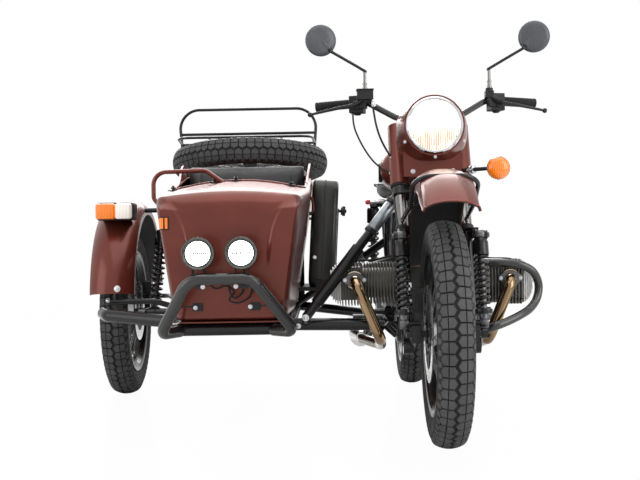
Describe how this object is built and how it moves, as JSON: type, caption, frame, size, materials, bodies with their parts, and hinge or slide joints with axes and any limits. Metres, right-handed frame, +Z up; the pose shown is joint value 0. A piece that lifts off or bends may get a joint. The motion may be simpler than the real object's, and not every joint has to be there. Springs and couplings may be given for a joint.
{
  "type": "sidecar motorcycle",
  "caption": "Maroon boxer-twin motorcycle with a leading-link fork and a passenger sidecar on its right, spare wheel on the boot lid.",
  "frame": {"origin": "on the floor under the middle of the machine's bounding box", "axes": "+Z up, the front faces -Y, the sidecar is at -X"},
  "size_m": [1.6896, 2.3029, 1.3646],
  "materials": {
    "maroon_paint": "satin",
    "black_paint": "gloss",
    "black_plastic": "matte",
    "black_rubber": "matte",
    "tyre_rubber": "matte",
    "cast_alloy": "satin",
    "bare_steel": "satin",
    "bright_chrome": "polished",
    "black_vinyl": "satin",
    "lamp_lens": "polished",
    "amber_lens": "gloss",
    "olive_paint": "satin",
    "black_iron": "satin"
  },
  "bodies": {
    "chassis": {"bench_saddle": "black_vinyl", "cylinders": "cast_alloy", "engine_block": "cast_alloy", "engine_guard": "black_paint", "exhausts": "bare_steel", "final_drive": "cast_alloy", "frame": "black_paint", "fuel_tank": "maroon_paint", "grab_rail": "maroon_paint", "intake": "black_plastic", "jerry_can": "olive_paint", "nose_bar": "black_iron", "pedals": "bare_steel", "rear_calipers": "black_iron", "rear_mudguard": "maroon_paint", "rear_shocks": "black_iron", "rocker_covers": "cast_alloy", "side_arm": "black_paint", "sidecar_backrest": "black_vinyl", "sidecar_brackets": "black_paint", "sidecar_cushion": "black_vinyl", "sidecar_frame": "black_paint", "sidecar_lamps": "lamp_lens", "sidecar_mudguard": "maroon_paint", "sidecar_struts": "black_paint", "sidecar_tub": "maroon_paint", "swingarm": "black_paint", "tail_lamp": "amber_lens"},
    "steering": {"fork": "black_paint", "leading_links": "black_paint", "front_shocks": "black_iron", "front_caliper": "black_iron", "front_mudguard": "maroon_paint", "mudguard_stay": "black_paint", "headlamp_nacelle": "maroon_paint", "headlamp": "bright_chrome", "handlebar": "black_paint", "controls": "black_rubber", "mirrors": "black_plastic", "front_indicator": "amber_lens", "cables": "black_rubber"},
    "boot": {"boot_lid": "maroon_paint", "luggage_rack": "black_paint", "spare_tyre": "tyre_rubber", "spare_wheel": "black_paint"},
    "front_roll": {"front_tyre": "tyre_rubber", "front_wheel": "black_paint"},
    "rear_roll": {"rear_tyre": "tyre_rubber", "rear_wheel": "black_paint"},
    "side_roll": {"side_tyre": "tyre_rubber", "side_wheel": "black_paint"}
  },
  "joints": [
    {"name": "steer", "type": "hinge", "parent": "chassis", "child": "steering", "pos_m": [0.4283, -0.38993, 0.9], "axis": [0, 0.454, 0.891], "range_deg": [-30, 30]},
    {"name": "front_spin", "type": "hinge", "parent": "steering", "child": "front_roll", "pos_m": [0.4283, -0.8085, 0.343], "axis": [1, 0, 0], "continuous": true},
    {"name": "rear_spin", "type": "hinge", "parent": "chassis", "child": "rear_roll", "pos_m": [0.4283, 0.6665, 0.343], "axis": [1, 0, 0], "continuous": true},
    {"name": "side_spin", "type": "hinge", "parent": "chassis", "child": "side_roll", "pos_m": [-0.7667, 0.4765, 0.343], "axis": [1, 0, 0], "continuous": true},
    {"name": "boot_lid_hinge", "type": "hinge", "parent": "chassis", "child": "boot", "pos_m": [-0.2477, 0.4805, 0.914], "axis": [1, 0, 0], "range_deg": [0, 40]}
  ]
}
